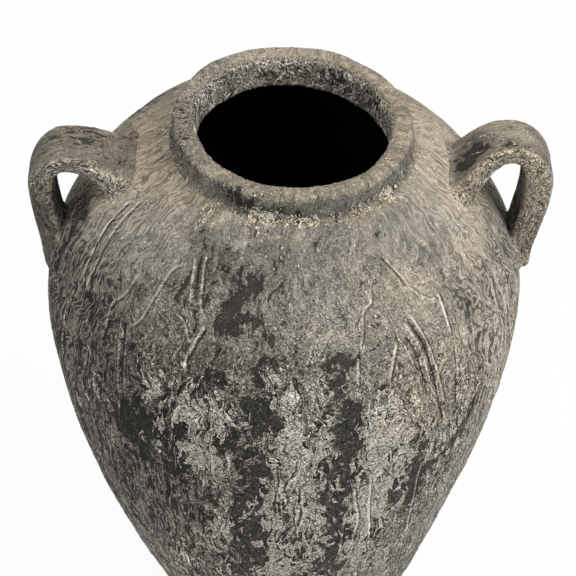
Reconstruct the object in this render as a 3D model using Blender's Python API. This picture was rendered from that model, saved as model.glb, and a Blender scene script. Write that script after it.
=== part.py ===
"""Tall clay jar with a raised collar and two strap handles on its shoulder.

It is modelled as the pieces a potter forms and lutes together: a base slab, three wall
sections, a rim collar, two pulled handles, and the coils pressed over the joints.
Units are metres. +Z is up, and the origin is the centre of the base's underside.
"""

import math

import bmesh
import bpy
from mathutils import Vector

# Outside of the body: the base, the widest point and the neck under the collar
BASE_RADIUS = 0.094
BASE_FLARE = 0.245
BASE_BEVEL = 0.004
BELLY_RADIUS = 0.1975
BELLY_HEIGHT = 0.447
NECK_HEIGHT = 0.600
SHOULDER_OVERRUN = 0.021

# Thickness of the clay, and the heights where wall sections are joined
WALL = 0.012
FLOOR = 0.016
LOWER_SEAM_HEIGHT = 0.190
UPPER_SEAM_HEIGHT = 0.400
SEAM_LAP = 0.006
GAP = 0.0003

# Rim collar: a thick ring with a spigot that drops into the shoulder's mouth
RIM_RADIUS = 0.094
MOUTH_RADIUS = 0.0765
COLLAR_STAND = 0.020
SPIGOT_WALL = 0.008
RIM_OUTER_ROUND = 0.004
RIM_INNER_ROUND = 0.004
ROUND_STEPS = 3

# Coils of soft clay pressed into the joints
BASE_COIL = 0.014
COIL_HOLLOW = 0.35
SEAM_COIL_HALF_HEIGHT = 0.011
SEAM_COIL_BULGE = 0.004
COLLAR_COIL_HEIGHT = 0.007
COLLAR_COIL_SPREAD = 0.010
LUTE_RADIUS = 0.0025
LUTE_CLEARANCE = 0.0006

# Strap handles, by the middle line of the strap, set off from the belly and the neck
RIGHT_ROOT_INSET = 0.0670
LEFT_ROOT_INSET = 0.0760
UPPER_ROOT_DEPTH = 0.0125
UPPER_ROOT_LIFT = math.radians(25.0)
RIGHT_CROWN_INSET = 0.0190
LEFT_CROWN_INSET = 0.0240
RIGHT_CROWN_RISE = 0.0005
LEFT_CROWN_RISE = -0.0070
RIGHT_REACH_OUT = 0.0047
LEFT_REACH_OUT = -0.0045
REACH_DROP = 0.035
RIGHT_TAIL_DEPTH = 0.0027
LEFT_TAIL_DEPTH = 0.0076
LOWER_ROOT_RISE = 0.026
LOWER_ROOT_LEAN = math.radians(-3.0)
STRAP_BEND = 0.39

# Strap section at the upper root, the crown, the reach and the tail
STRAP_HALF_WIDTHS = (0.031, 0.0225, 0.0195, 0.0140)
STRAP_HALF_THICKNESSES = (0.0105, 0.0075, 0.0118, 0.0110)
STRAP_SQUARENESS = 4.6

# Fineness of the meshes
TURN_STEPS = 56
WALL_STATION = 0.030
FINE_STEPS = 400
HALVINGS = 40
HIGHEST_SHARE = 0.99
SECTION_STEPS = 20
STEPS_PER_BEND = 7
LUTE_SIDES = 6
SMOOTH_LIMIT = math.radians(40.0)

# Shoulder ellipse that leaves the belly upright and is cut off by the neck, short of lying flat
SHOULDER_RISE = NECK_HEIGHT - BELLY_HEIGHT + SHOULDER_OVERRUN
NECK_CLIMB = (NECK_HEIGHT - BELLY_HEIGHT) / SHOULDER_RISE
SHOULDER_REACH = (BELLY_RADIUS - RIM_RADIUS) / (1.0 - math.sqrt(1.0 - NECK_CLIMB ** 2))

# Order of the places along a strap
UPPER_ROOT, CROWN, REACH, TAIL = 0.0, 1.0, 2.0, 3.0

RIM_HEIGHT = NECK_HEIGHT + COLLAR_STAND
SPIGOT_RADIUS = MOUTH_RADIUS + SPIGOT_WALL


def outer_radius(height):
    """Radius of the outside at a height: a cubic up to the belly, then an ellipse."""
    if height >= BELLY_HEIGHT:
        climb = (height - BELLY_HEIGHT) / SHOULDER_RISE
        return BELLY_RADIUS - SHOULDER_REACH * (1.0 - math.sqrt(1.0 - climb ** 2))
    down = 1.0 - height / BELLY_HEIGHT
    from_belly = 2.0 * down ** 3 - 3.0 * down ** 2 + 1.0
    flare = BASE_FLARE * BELLY_HEIGHT * (down ** 3 - down ** 2)
    return BELLY_RADIUS * from_belly + BASE_RADIUS * (1.0 - from_belly) - flare


def outer_slope(height):
    """Change of the outside radius with height."""
    if height >= BELLY_HEIGHT:
        climb = (height - BELLY_HEIGHT) / SHOULDER_RISE
        return -SHOULDER_REACH / SHOULDER_RISE * climb / math.sqrt(1.0 - climb ** 2)
    down = 1.0 - height / BELLY_HEIGHT
    widening = (BELLY_RADIUS - BASE_RADIUS) * 6.0 * down * (1.0 - down) / BELLY_HEIGHT
    return widening + BASE_FLARE * (3.0 * down ** 2 - 2.0 * down)


def wall_point(height, depth):
    """Point inside the wall, a depth in from the outside along its normal."""
    slope = outer_slope(height)
    length = math.hypot(1.0, slope)
    return outer_radius(height) - depth / length, height + depth * slope / length


def wall_clearance(point):
    """Distance of a point from the outside of the wall, positive in the open."""
    reach = math.hypot(point.x, point.y) - outer_radius(point.z)
    return reach / math.hypot(1.0, outer_slope(point.z))


def wall_run(low, high, depth):
    """Points up the wall between two heights, evenly spaced along the clay."""
    fine = [low + (high - low) * step / FINE_STEPS for step in range(FINE_STEPS + 1)]
    travel = [0.0]
    for below, above in zip(fine, fine[1:]):
        travel.append(travel[-1] + math.dist(wall_point(below, 0.0), wall_point(above, 0.0)))
    count = max(2, math.ceil(travel[-1] / WALL_STATION))
    heights = [low]
    for step in range(1, count):
        target = travel[-1] * step / count
        heights.append(next(height for height, done in zip(fine, travel) if done >= target))
    heights.append(high)
    return [wall_point(height, depth) for height in heights]


def height_at_radius(radius, depth):
    """Outside height whose point at this depth in the shoulder has this radius."""
    low, high = BELLY_HEIGHT, BELLY_HEIGHT + HIGHEST_SHARE * SHOULDER_RISE
    for _ in range(HALVINGS):
        middle = 0.5 * (low + high)
        if wall_point(middle, depth)[0] > radius:
            low = middle
        else:
            high = middle
    return 0.5 * (low + high)


def rounded_corner(centre, radius, start, end):
    """Arc of a quarter turn or so, as points of (radius, height)."""
    points = []
    for step in range(ROUND_STEPS + 1):
        angle = math.radians(start + (end - start) * step / ROUND_STEPS)
        points.append((centre[0] + radius * math.cos(angle), centre[1] + radius * math.sin(angle)))
    return points


def add_piece(name, work, clay):
    """Close off a bmesh as a named, smoothly shaded object with its own material."""
    bmesh.ops.recalc_face_normals(work, faces=work.faces[:])
    mesh = bpy.data.meshes.new(name)
    work.to_mesh(mesh)
    work.free()
    mesh.shade_smooth()
    mesh.set_sharp_from_angle(angle=SMOOTH_LIMIT)
    if clay is not None:
        mesh.materials.append(clay)
    piece = bpy.data.objects.new(name, mesh)
    bpy.context.scene.collection.objects.link(piece)
    return piece


def clay_material(name, colour, roughness):
    """Matt fired clay in one colour."""
    material = bpy.data.materials.new(name)
    material.use_nodes = True
    surface = material.node_tree.nodes["Principled BSDF"]
    surface.inputs["Base Color"].default_value = (*colour, 1.0)
    surface.inputs["Roughness"].default_value = roughness
    surface.inputs["Metallic"].default_value = 0.0
    return material


def turned_piece(name, outline, clay):
    """Turn a closed outline of (radius, height) points about the vertical axis."""
    work = bmesh.new()
    rings = []
    for radius, height in outline:
        if radius == 0.0:
            rings.append([work.verts.new((0.0, 0.0, height))] * TURN_STEPS)
            continue
        turns = [2.0 * math.pi * step / TURN_STEPS for step in range(TURN_STEPS)]
        rings.append([work.verts.new((radius * math.cos(a), radius * math.sin(a), height)) for a in turns])
    join_rings(work, rings + rings[:1])
    return add_piece(name, work, clay)


def join_rings(work, rings):
    """Skin each ring of vertices to the next."""
    for ring, following in zip(rings, rings[1:]):
        for here, there in zip(range(len(ring)), list(range(1, len(ring))) + [0]):
            corners = tuple(dict.fromkeys((ring[here], ring[there], following[there], following[here])))
            if len(corners) > 2:
                work.faces.new(corners)


def base_slab(clay):
    """Flat round slab with a rebate round its edge that takes the lower wall."""
    land = wall_point(FLOOR + SEAM_LAP, WALL)
    outline = [
        (0.0, 0.0),
        (BASE_RADIUS - BASE_BEVEL, 0.0),
        (outer_radius(BASE_BEVEL), BASE_BEVEL),
        wall_point(FLOOR, 0.0),
        wall_point(FLOOR, WALL / 2),
        wall_point(FLOOR + SEAM_LAP, WALL / 2),
        land,
        (0.0, land[1]),
    ]
    return turned_piece("base_slab", outline, clay)


def seam_foot(low):
    """Rebated lower edge of a wall section, from its inside to its outside."""
    return [
        wall_point(low + SEAM_LAP + GAP, WALL / 2 - GAP),
        wall_point(low + GAP, WALL / 2 - GAP),
    ]


def wall_section(name, low, high, clay):
    """Ring of wall between two seams, rebated to lap its neighbours."""
    outline = wall_run(low + GAP, high, 0.0)
    outline.append(wall_point(high, WALL / 2))
    outline.append(wall_point(high + SEAM_LAP, WALL / 2))
    outline += reversed(wall_run(low + SEAM_LAP + GAP, high + SEAM_LAP, WALL))
    outline += seam_foot(low)
    return turned_piece(name, outline, clay)


def shoulder_wall(clay):
    """Top wall section, closing in to a flat seat and a round mouth for the collar."""
    mouth = SPIGOT_RADIUS + GAP
    inner_top = height_at_radius(mouth, WALL)
    outline = wall_run(UPPER_SEAM_HEIGHT + GAP, NECK_HEIGHT, 0.0)
    outline.append((mouth, NECK_HEIGHT))
    outline += reversed(wall_run(UPPER_SEAM_HEIGHT + SEAM_LAP + GAP, inner_top, WALL))
    outline += seam_foot(UPPER_SEAM_HEIGHT)
    return turned_piece("shoulder_wall", outline, clay)


def rim_collar(clay):
    """Thick collar that stands on the shoulder, with its spigot in the mouth."""
    seat = NECK_HEIGHT + GAP
    spigot_end = wall_point(height_at_radius(SPIGOT_RADIUS + GAP, WALL), WALL)[1]
    outline = [(RIM_RADIUS, seat)]
    outer_centre = (RIM_RADIUS - RIM_OUTER_ROUND, RIM_HEIGHT - RIM_OUTER_ROUND)
    outline += rounded_corner(outer_centre, RIM_OUTER_ROUND, 0.0, 90.0)
    inner_centre = (MOUTH_RADIUS + RIM_INNER_ROUND, RIM_HEIGHT - RIM_INNER_ROUND)
    outline += rounded_corner(inner_centre, RIM_INNER_ROUND, 90.0, 180.0)
    outline += [(MOUTH_RADIUS, spigot_end), (SPIGOT_RADIUS, spigot_end), (SPIGOT_RADIUS, seat)]
    return turned_piece("rim_collar", outline, clay)


def base_coil(clay):
    """Coil pressed into the inside corner between the slab and the lower wall."""
    foot = FLOOR + SEAM_LAP
    floor = wall_point(foot, WALL)[1] + GAP
    corner = wall_point(foot + 2.0 * GAP, WALL + GAP)
    outline = [
        corner,
        wall_point(foot + BASE_COIL, WALL + GAP),
        (corner[0] - COIL_HOLLOW * BASE_COIL, floor + COIL_HOLLOW * BASE_COIL),
        (corner[0] - BASE_COIL, floor),
    ]
    return turned_piece("base_corner_coil", outline, clay)


def seam_coil(name, seam_height, clay):
    """Coil smoothed over a seam on the inside of the wall."""
    middle = seam_height + SEAM_LAP
    heights = [middle + SEAM_COIL_HALF_HEIGHT * share for share in (-1.0, 0.0, 1.0)]
    outline = [wall_point(height, WALL + GAP) for height in heights]
    outline.append(wall_point(middle + SEAM_COIL_HALF_HEIGHT / 2, WALL + GAP + SEAM_COIL_BULGE))
    outline.append(wall_point(middle - SEAM_COIL_HALF_HEIGHT / 2, WALL + GAP + SEAM_COIL_BULGE))
    return turned_piece(name, outline, clay)


def collar_coil(clay):
    """Coil pressed round the outside, in the angle between the collar and the shoulder."""
    side = RIM_RADIUS + GAP
    spread_height = NECK_HEIGHT + COLLAR_COIL_SPREAD / outer_slope(NECK_HEIGHT)
    corner = wall_point(NECK_HEIGHT, -GAP)
    spread = wall_point(spread_height, -GAP)
    outline = [
        (side, corner[1] + GAP),
        (side, NECK_HEIGHT + COLLAR_COIL_HEIGHT),
        (side + COIL_HOLLOW * COLLAR_COIL_SPREAD, NECK_HEIGHT + COIL_HOLLOW * COLLAR_COIL_HEIGHT),
        spread,
        corner,
    ]
    return turned_piece("collar_foot_coil", outline, clay)


def strap_knots(root_inset, crown_inset, crown_rise, reach_out, tail_depth):
    """Places and directions the strap's middle line passes through, root to tail."""
    lift = Vector((math.cos(UPPER_ROOT_LIFT), math.sin(UPPER_ROOT_LIFT)))
    lean = Vector((-math.sin(LOWER_ROOT_LEAN), -math.cos(LOWER_ROOT_LEAN)))
    root_height = height_at_radius(BELLY_RADIUS - root_inset, UPPER_ROOT_DEPTH)
    tail_height = BELLY_HEIGHT + LOWER_ROOT_RISE
    return (
        (Vector(wall_point(root_height, UPPER_ROOT_DEPTH)), lift),
        (Vector((BELLY_RADIUS - crown_inset, NECK_HEIGHT + crown_rise)), Vector((1.0, 0.0))),
        (Vector((BELLY_RADIUS + reach_out, NECK_HEIGHT - REACH_DROP)), Vector((0.0, -1.0))),
        (Vector((outer_radius(tail_height) - tail_depth, tail_height)), lean),
    )


def strap_point(knots, travel, turn, grow):
    """Point on the strap's skin, grown outwards. travel counts bends from the upper root."""
    bend = min(int(travel), len(knots) - 2)
    share = travel - bend
    (start, start_way), (end, end_way) = knots[bend], knots[bend + 1]
    pull = STRAP_BEND * (end - start).length
    first, second = start + start_way * pull, end - end_way * pull
    rest = 1.0 - share
    centre = rest ** 3 * start + 3.0 * rest ** 2 * share * first
    centre = centre + 3.0 * rest * share ** 2 * second + share ** 3 * end
    way = rest ** 2 * (first - start) + 2.0 * rest * share * (second - first) + share ** 2 * (end - second)
    outward = Vector((-way.y, way.x)).normalized()
    ease = share * share * (3.0 - 2.0 * share)
    half_width = STRAP_HALF_WIDTHS[bend] * (1.0 - ease) + STRAP_HALF_WIDTHS[bend + 1] * ease + grow
    thick = STRAP_HALF_THICKNESSES[bend] * (1.0 - ease) + STRAP_HALF_THICKNESSES[bend + 1] * ease + grow
    power = 2.0 / STRAP_SQUARENESS
    across = half_width * math.copysign(abs(math.cos(turn)) ** power, math.cos(turn))
    out = thick * math.copysign(abs(math.sin(turn)) ** power, math.sin(turn))
    place = centre + outward * out
    return Vector((place.x, across, place.y))


def section_turns():
    return [2.0 * math.pi * (step + 0.5) / SECTION_STEPS for step in range(SECTION_STEPS)]


def strap_handle(name, knots, side, trimmer, clay):
    """Pulled strap swept along its line and cut to sit on the wall. side is +1 or -1 in X."""
    work = bmesh.new()
    rings = []
    bends = len(knots) - 1
    for step in range(bends * STEPS_PER_BEND + 1):
        ring = []
        for turn in section_turns():
            place = strap_point(knots, step / STEPS_PER_BEND, turn, 0.0)
            ring.append(work.verts.new((side * place.x, side * place.y, place.z)))
        rings.append(ring)
    join_rings(work, rings)
    work.faces.new(rings[0])
    work.faces.new(rings[-1])
    handle = add_piece(name, work, clay)
    cut = handle.modifiers.new("sit on wall", "BOOLEAN")
    cut.operation = "DIFFERENCE"
    cut.solver = "EXACT"
    cut.object = trimmer
    return handle


def wall_trimmer():
    """Solid of the shoulder's outside, a gap larger, that cuts the handles' roots."""
    outline = wall_run(UPPER_SEAM_HEIGHT + GAP, NECK_HEIGHT, -GAP)
    outline.append((0.0, outline[-1][1]))
    outline.append((0.0, outline[0][1]))
    trimmer = turned_piece("wall_trimmer", outline, None)
    trimmer.hide_render = True
    trimmer.display_type = "WIRE"
    return trimmer


def luting_coil(name, knots, inside, outside, side, clay):
    """Thin coil laid in the angle round a handle's root. It rides the strap and the wall."""
    stand_off = LUTE_RADIUS + LUTE_CLEARANCE
    line = []
    for turn in section_turns():
        buried, clear = inside, outside
        for _ in range(HALVINGS):
            middle = 0.5 * (buried + clear)
            if wall_clearance(strap_point(knots, middle, turn, stand_off)) < stand_off:
                buried = middle
            else:
                clear = middle
        place = strap_point(knots, clear, turn, stand_off)
        line.append(Vector((side * place.x, side * place.y, place.z)))
    work = bmesh.new()
    rings = []
    for index, place in enumerate(line):
        way = (line[(index + 1) % len(line)] - line[index - 1]).normalized()
        slope = outer_slope(place.z)
        out = Vector((place.x, place.y, -slope * math.hypot(place.x, place.y)))
        out = (out - way * out.dot(way)).normalized()
        across = way.cross(out)
        ring = []
        for step in range(LUTE_SIDES):
            turn = 2.0 * math.pi * step / LUTE_SIDES
            ring.append(work.verts.new(place + LUTE_RADIUS * (math.cos(turn) * out + math.sin(turn) * across)))
        rings.append(ring)
    join_rings(work, rings + rings[:1])
    return add_piece(name, work, clay)


def build():
    for leftover in list(bpy.data.objects):
        bpy.data.objects.remove(leftover, do_unlink=True)

    base_slab(clay_material("base clay", (0.125, 0.108, 0.085), 0.95))
    wall_section("lower_wall", FLOOR, LOWER_SEAM_HEIGHT, clay_material("lower clay", (0.150, 0.140, 0.120), 0.92))
    wall_section(
        "middle_wall", LOWER_SEAM_HEIGHT, UPPER_SEAM_HEIGHT, clay_material("middle clay", (0.175, 0.165, 0.140), 0.92)
    )
    shoulder_wall(clay_material("shoulder clay", (0.245, 0.220, 0.175), 0.92))
    rim_collar(clay_material("collar clay", (0.195, 0.175, 0.138), 0.90))

    coil_clay = (0.110, 0.095, 0.075)
    base_coil(clay_material("base coil clay", coil_clay, 0.95))
    seam_coil("lower_seam_coil", LOWER_SEAM_HEIGHT, clay_material("lower coil clay", coil_clay, 0.95))
    seam_coil("upper_seam_coil", UPPER_SEAM_HEIGHT, clay_material("upper coil clay", coil_clay, 0.95))
    collar_coil(clay_material("collar coil clay", (0.170, 0.150, 0.120), 0.92))

    trimmer = wall_trimmer()
    left_crown = (LEFT_CROWN_INSET, LEFT_CROWN_RISE)
    left_knots = strap_knots(LEFT_ROOT_INSET, *left_crown, LEFT_REACH_OUT, LEFT_TAIL_DEPTH)
    right_crown = (RIGHT_CROWN_INSET, RIGHT_CROWN_RISE)
    right_knots = strap_knots(RIGHT_ROOT_INSET, *right_crown, RIGHT_REACH_OUT, RIGHT_TAIL_DEPTH)
    for hand, side, knots in (("left", -1.0, left_knots), ("right", 1.0, right_knots)):
        strap_clay = clay_material(hand + " handle clay", (0.190, 0.168, 0.130), 0.90)
        strap_handle(hand + "_handle", knots, side, trimmer, strap_clay)
        upper_clay = clay_material(hand + " upper lute clay", (0.215, 0.195, 0.160), 0.92)
        luting_coil(hand + "_upper_lute", knots, UPPER_ROOT, CROWN, side, upper_clay)
        lower_clay = clay_material(hand + " lower lute clay", (0.215, 0.195, 0.160), 0.92)
        luting_coil(hand + "_lower_lute", knots, TAIL, REACH, side, lower_clay)


build()
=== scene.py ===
"""An old smoke-fired storage jar with a thick collar and two strap handles.

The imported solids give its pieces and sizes. Here they get their hand-made unevenness and the lime
wash that has run, crazed and flaked off the dark clay. Metres, +Z up, and the front faces -Y.
"""

import math

import bpy
import numpy as np
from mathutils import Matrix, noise


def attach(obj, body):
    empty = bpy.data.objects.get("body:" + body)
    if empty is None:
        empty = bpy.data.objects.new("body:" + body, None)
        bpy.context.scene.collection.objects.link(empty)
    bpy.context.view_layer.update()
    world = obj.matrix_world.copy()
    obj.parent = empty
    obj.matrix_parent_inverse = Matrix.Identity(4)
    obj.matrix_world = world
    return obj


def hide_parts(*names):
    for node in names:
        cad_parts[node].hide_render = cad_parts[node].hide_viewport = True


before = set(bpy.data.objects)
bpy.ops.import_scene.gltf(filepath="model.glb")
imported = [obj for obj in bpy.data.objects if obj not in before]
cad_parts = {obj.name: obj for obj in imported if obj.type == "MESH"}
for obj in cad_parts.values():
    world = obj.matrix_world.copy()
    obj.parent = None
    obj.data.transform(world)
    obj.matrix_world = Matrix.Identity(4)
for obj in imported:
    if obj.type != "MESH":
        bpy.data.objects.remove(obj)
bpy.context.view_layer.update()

# Outside of the body, as on the solids. The base is hollow underneath, by places of (radius, height) from
# its middle out, and its floor is drawn in to the middle by two radii.
BASE_RADIUS = 0.094
BASE_FLARE = 0.245
BASE_BEVEL = 0.004
BELLY_RADIUS = 0.1975
BELLY_HEIGHT = 0.447
NECK_HEIGHT = 0.600
SHOULDER_OVERRUN = 0.021
WALL = 0.012
FLOOR = 0.016
FLOOR_RADII = (0.082, 0.001)
BASE_HOLLOW = ((0.001, 0.0015), (0.060, 0.0015), (0.080, 0.0005))
LOWER_SEAM_HEIGHT = 0.190
UPPER_SEAM_HEIGHT = 0.400
SHOULDER_RISE = NECK_HEIGHT - BELLY_HEIGHT + SHOULDER_OVERRUN

# Collar, with a spigot in the body's mouth. Its foot's fillet meets the shoulder's slope under the neck and
# is feathered out below, from a start to an end, sunk into the wall, and closed at a hidden corner inside it.
RIM_RADIUS = 0.094
MOUTH_RADIUS = 0.0765
RIM_HEIGHT = 0.620
RIM_ROUND = 0.004
MOUTH_ROUND = 0.007
SPIGOT_END = 0.590
SPIGOT_RADIUS = 0.0845
SPIGOT_ROUND = 0.003
FOOT_FILLET = 0.007
UNDER_NECK = 0.002
FEATHER_START = 0.003
FEATHER_END = 0.010
FEATHER_TRAVEL = 0.012
FEATHER_SINK = 0.0004
FEATHER_CORNER = (0.098, 0.591)

# Waves worn into the rim: how deep they are, how many go round, and the angle that they start at
RIM_WEAR = ((0.0006, 3.0, 0.8), (0.0005, 7.0, 0.0), (0.0004, 11.0, 2.0))

# Strap handles by their middle line, as places of (radius, height): the root inside the wall, the crown
# and the furthest reach, and then how deep the tail lies in the wall. Half the strap's width and half
# its thickness follow, each at root, crown, reach and tail.
LEFT_STRAP = (
    ((0.1215, 0.5687), (0.1718, 0.5928), (0.1940, 0.5650)), 0.0076,
    (0.031, 0.0225, 0.0195, 0.0140), (0.0105, 0.0075, 0.0100, 0.0110),
)
RIGHT_STRAP = (
    ((0.1305, 0.5614), (0.1785, 0.6002), (0.2022, 0.5650)), 0.0027,
    (0.031, 0.0195, 0.0190, 0.0140), (0.0105, 0.0075, 0.0118, 0.0110),
)
ROOT_LIFT = math.radians(25.0)
TAIL_HEIGHT = 0.473
TAIL_LEAN = math.radians(-3.0)
TAIL_ROUND = 0.006
STRAP_BEND = 0.39

# Where along its three bends a strap's skin starts, and where its rounded tail does
STRAP_START = 0.06
TAIL_START = 2.92

# How square the strap's section is, and how far it is smeared out onto the wall, from root to tail
STRAP_SQUARENESS = 4.6
ROOT_SMEARS = (0.006, 0.006, 0.008, 0.004)

# Faults of the hand-made body: the neck sits high and to the right, tips that way and nods to the front,
# and the foot leans left
NECK_SHIFT = 0.0067
NECK_RAISE = 0.0035
NECK_TIP = math.radians(2.75)
NECK_NOD = math.radians(0.6)
NECK_STIFF_RADIUS = 0.098
NECK_FREE_RADIUS = 0.140
NECK_FREE_HEIGHT = 0.50
NECK_STIFF_HEIGHT = 0.56
LOWER_LEAN = 0.0026
LOWER_LEAN_HEIGHT = 0.270
LOWER_LEAN_SPREAD = 0.110
OUT_OF_ROUND = 0.0007

# Fineness of the skins
COLUMNS = 672
ROW_STEP = 0.0018
INNER_ROW_STEP = 0.016
COLLAR_STEP = 0.0013
BEVEL_ROWS = 4
FEATHER_ROWS = 4
ARC_POINTS = 9
PROFILE_POINTS = 4000
STRAP_ROWS = 230
TAIL_ROWS = 14
STRAP_COLUMNS = 96

MM = 1000.0

# The coat's pattern is wound round the body at one radius, so that it doesn't narrow with the jar, and the
# two straps have theirs this far apart. A run of wash reaches this many of its half widths to each side.
PATTERN_RADIUS = 0.150
STRAP_PATTERN_SHIFT = 0.3
RUN_REACH = 4.0

# Where a place's or a blot's share of the wash has faded to nothing and where it is whole, in its half sizes
PLACE_FADE = (1.7, 0.3)
BLOT_FADE = (1.4, 0.4)

# How far the wash stands off the clay in mm, by its film, its crust and its runs, and how uneven the clay is
FILM_LIFT = 0.3
CRUST_LIFT = 0.5
RUN_LIFT = 0.9
CLAY_UNEVEN = 1.2

# Where the wash lies on the body. Each place is degrees from the front, round by the right, and mm
# above the floor, with half its width and height in mm along the wall. The last number is how much
# more of the wash is there, or less where it is below nought.
FILM_PLACES = (
    (-80, 575, 60, 40, 0.38),
    # The next three darken the wash down the left side under the left handle, a painted shadow of the handle
    (-84, 553, 18, 20, -0.40),
    (-82, 532, 9, 20, -0.30),
    (-79, 508, 6, 22, -0.24),
    (85, 575, 60, 40, 0.20),
    (32, 560, 40, 40, 0.04),
    (-13, 561, 14, 28, -0.50),
    (4, 592, 40, 16, -0.08),
    (4, 572, 40, 24, -0.06),
    (-17, 535, 16, 22, -0.14),
    (-18, 588, 5, 9, -0.22),
    (-30, 588, 7, 7, -0.22),
    (-25, 560, 4, 34, -0.26),
    (-29, 567, 5, 14, -0.16),
    (-31, 556, 6, 10, -0.16),
    (-5, 533, 14, 16, -0.12),
    (15, 531, 13, 13, -0.30),
    (15, 509, 12, 20, -0.20),
    (14, 478, 12, 26, -0.26),
    (15, 432, 13, 34, -0.19),
    (12, 360, 9, 50, -0.32),
    (13, 290, 8, 40, -0.30),
    (-6, 488, 14, 17, -0.30),
    (-9, 435, 16, 38, -0.28),
    (-8, 380, 12, 34, -0.22),
    (-9, 310, 8, 50, -0.30),
    (-37, 440, 14, 46, -0.24),
    (-27, 474, 5, 34, -0.26),
    (-24, 380, 24, 44, -0.16),
    (34, 500, 14, 18, -0.08),
    (33, 385, 11, 44, -0.24),
    (49, 422, 7, 36, -0.24),
    (45, 385, 6, 40, -0.16),
    (40, 330, 26, 60, -0.04),
    (-45, 380, 22, 60, -0.06),
    (-40, 320, 44, 80, -0.06),
    (104, 490, 16, 50, -0.34),
    (88, 395, 12, 60, -0.34),
    (128, 400, 12, 80, -0.28),
    (150, 560, 18, 30, -0.40),
    (158, 500, 14, 40, -0.28),
    (172, 400, 13, 90, -0.30),
    (166, 290, 11, 60, -0.28),
    (196, 520, 20, 30, -0.30),
    (205, 430, 15, 70, -0.28),
    (208, 310, 12, 70, -0.28),
    (232, 560, 16, 26, -0.34),
    (238, 450, 14, 60, -0.26),
    (250, 340, 16, 70, -0.24),
    (100, 300, 14, 70, -0.34),
    (262, 400, 13, 60, -0.34),
)
CRUST_PLACES = (
    (-20, 492, 14, 20, 0.12),
    (-20, 444, 13, 26, 0.13),
    (-3, 515, 12, 18, 0.10),
    (3, 500, 14, 34, 0.10),
    (2, 452, 14, 40, 0.20),
    (4, 372, 16, 44, 0.14),
    (25, 462, 16, 26, 0.20),
    (26, 378, 7, 24, 0.30),
    (33, 385, 9, 44, -0.20),
    (20, 400, 6, 40, 0.14),
    (21, 335, 9, 50, 0.26),
    (23, 425, 16, 44, 0.12),
    (-4, 300, 14, 34, 0.14),
    (46, 470, 16, 40, 0.12),
    (-31, 480, 8, 24, 0.10),
    (140, 430, 14, 60, 0.18),
    (148, 330, 14, 60, 0.20),
    (183, 470, 14, 40, 0.18),
    (188, 370, 14, 70, 0.22),
    (220, 400, 14, 70, 0.20),
    (228, 300, 12, 50, 0.18),
    (114, 360, 12, 50, 0.16),
    (-38, 370, 44, 70, -0.24),
)

# Dust that lies on the wash, or below nought, places where the wash is darker
DUST_PLACES = (
    (-62, 420, 110, 120, -0.60),
    (-25, 495, 56, 70, -0.80),
    (4, 578, 60, 30, -0.45),
    (-50, 565, 46, 32, -0.80),
    (-22, 580, 22, 26, -0.90),
    (54, 580, 46, 34, -0.70),
    (38, 480, 40, 50, 0.60),
    (64, 440, 50, 90, 0.50),
    (-36, 350, 60, 80, -0.40),
    (0, 400, 60, 70, -0.20),
    (30, 330, 40, 60, -0.20),
)

# Blots on the collar and on the handles, each by its place in mm, its reach in mm and how much more of
# the wash is there
COLLAR_BLOTS = (
    ((-38, -82, 618), 9, -0.24),
    ((-28, -88, 612), 9, -0.24),
    ((-6, -94, 610), 9, -0.20),
    ((6, -94, 610), 8, -0.20),
    ((-86, -30, 612), 30, -0.12),
    ((-88, 5, 614), 30, -0.10),
    ((0, 92, 620), 50, 0.20),
    ((-66, 62, 622), 14, -0.14),
    ((-28, 74, 616), 16, 0.25),
    ((-60, 48, 614), 14, 0.15),
    ((40, 64, 612), 12, -0.28),
    ((68, 34, 610), 12, -0.28),
)
HANDLE_BLOTS = (
    ((152, -4, 588), 19, -0.36),
    ((180, -12, 604), 11, -0.20),
    ((180, 0, 600), 50, 0.06),
    ((205, -18, 525), 16, -0.36),
    ((203, -18, 500), 12, -0.36),
    ((-165, 0, 596), 60, -0.10),
    ((-168, 0, 600), 26, -0.05),
    ((-200, 0, 535), 30, -0.14),
)

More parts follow.
